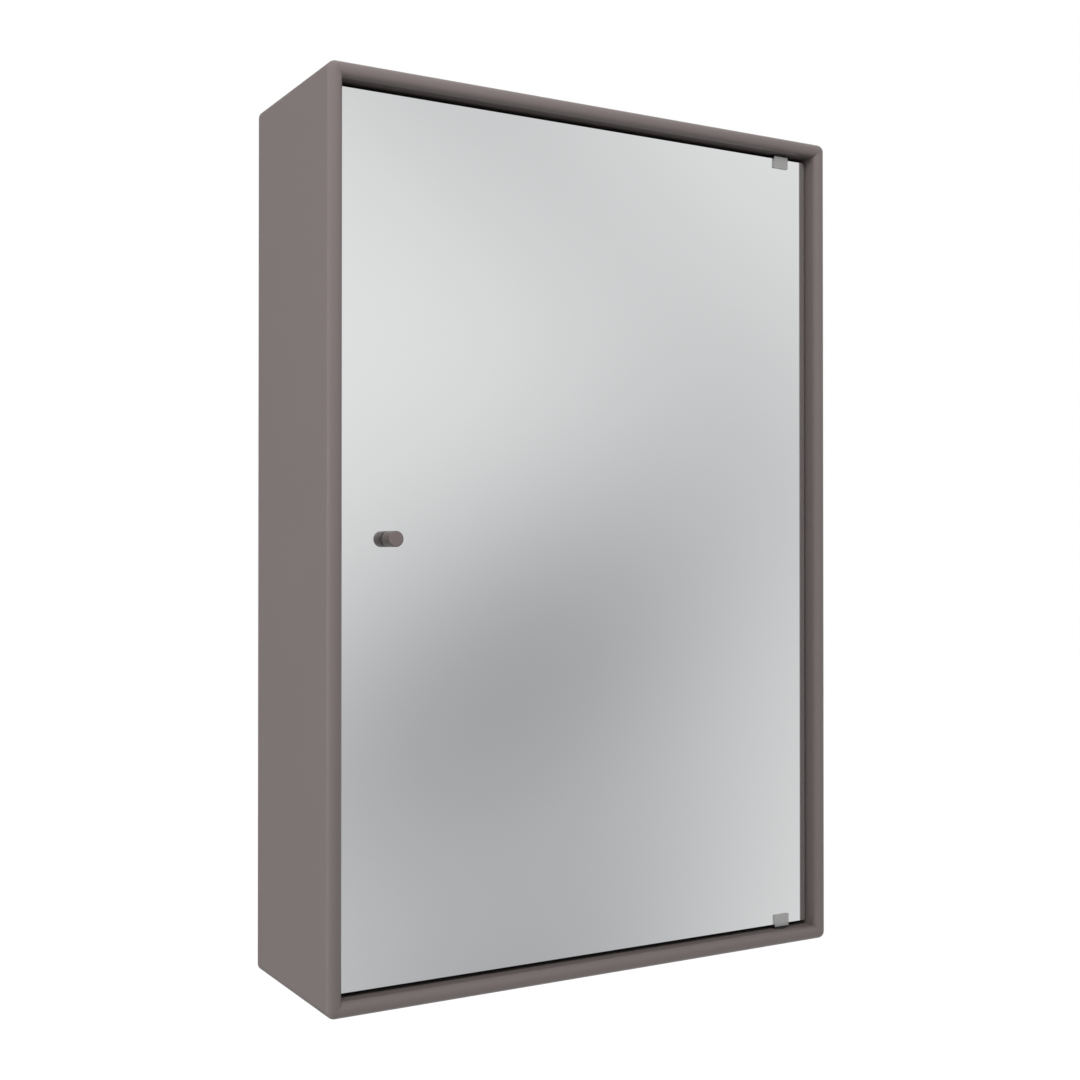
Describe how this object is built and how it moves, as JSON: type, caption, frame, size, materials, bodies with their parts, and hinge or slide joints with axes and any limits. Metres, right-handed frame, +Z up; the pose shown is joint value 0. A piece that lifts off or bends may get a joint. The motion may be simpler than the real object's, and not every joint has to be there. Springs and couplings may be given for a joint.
{
  "type": "mirror cabinet",
  "caption": "Wall-hung storage cabinet with a mitred, round-edged frame, an inset frameless mirror door on pivot hinges with a round knob, and glass shelves inside.",
  "frame": {"origin": "on the wall, midway between the two fixing slots of the wall rail", "axes": "+Z up, -Y out of the wall towards the person in front, +X to that person's right"},
  "size_m": [0.468, 0.155, 0.7],
  "materials": {
    "carcass_lacquer": "satin taupe-grey lacquer on fibreboard",
    "tongue_wood": "plain beech plywood",
    "rail_steel": "zinc-plated folded steel sheet",
    "screw_steel": "zinc-plated steel",
    "mirror": "silvered float glass with ground edges",
    "mirror_film": "grey safety film",
    "knob_lacquer": "satin taupe-grey lacquer on metal",
    "soft_plastic": "translucent soft plastic",
    "hinge_metal": "satin nickel plating on die-cast zinc",
    "pin_steel": "bright nickel-plated steel",
    "bush_plastic": "black acetal",
    "catch_plastic": "light grey moulded plastic",
    "magnet": "ferrite",
    "pole_steel": "zinc-plated steel sheet",
    "adhesive": "white foam tape",
    "support_plastic": "clear moulded plastic",
    "shelf_glass": "clear float glass with polished edges"
  },
  "bodies": {
    "cabinet": {"top_panel": "carcass_lacquer", "bottom_panel": "carcass_lacquer", "left_side_panel": "carcass_lacquer", "right_side_panel": "carcass_lacquer", "back_panel": "carcass_lacquer", "corner_tongues": "tongue_wood", "wall_rail": "rail_steel", "hook_rail": "rail_steel", "rail_screws": "screw_steel", "catch_screws": "screw_steel", "upper_pivot_bush": "bush_plastic", "lower_pivot_bush": "bush_plastic", "catch_housing": "catch_plastic", "catch_magnet": "magnet", "catch_pole_plates": "pole_steel", "lower_shelf": "shelf_glass", "upper_shelf": "shelf_glass", "shelf_supports": "support_plastic"},
    "door": {"mirror_glass": "mirror", "mirror_backing": "mirror_film", "door_knob": "knob_lacquer", "knob_screw": "screw_steel", "knob_washers": "soft_plastic", "knob_sleeve": "soft_plastic", "upper_hinge_clamp": "hinge_metal", "lower_hinge_clamp": "hinge_metal", "clamp_pads": "soft_plastic", "hinge_grub_screws": "screw_steel", "upper_pivot_pin": "pin_steel", "lower_pivot_pin": "pin_steel", "strike_plate": "pole_steel", "strike_adhesive": "adhesive"}
  },
  "joints": [
    {"name": "door_hinge", "type": "hinge", "parent": "cabinet", "child": "door", "pos_m": [0.193, -0.138, -0.284], "axis": [0, 0, 1], "range_deg": [0, 140]}
  ]
}
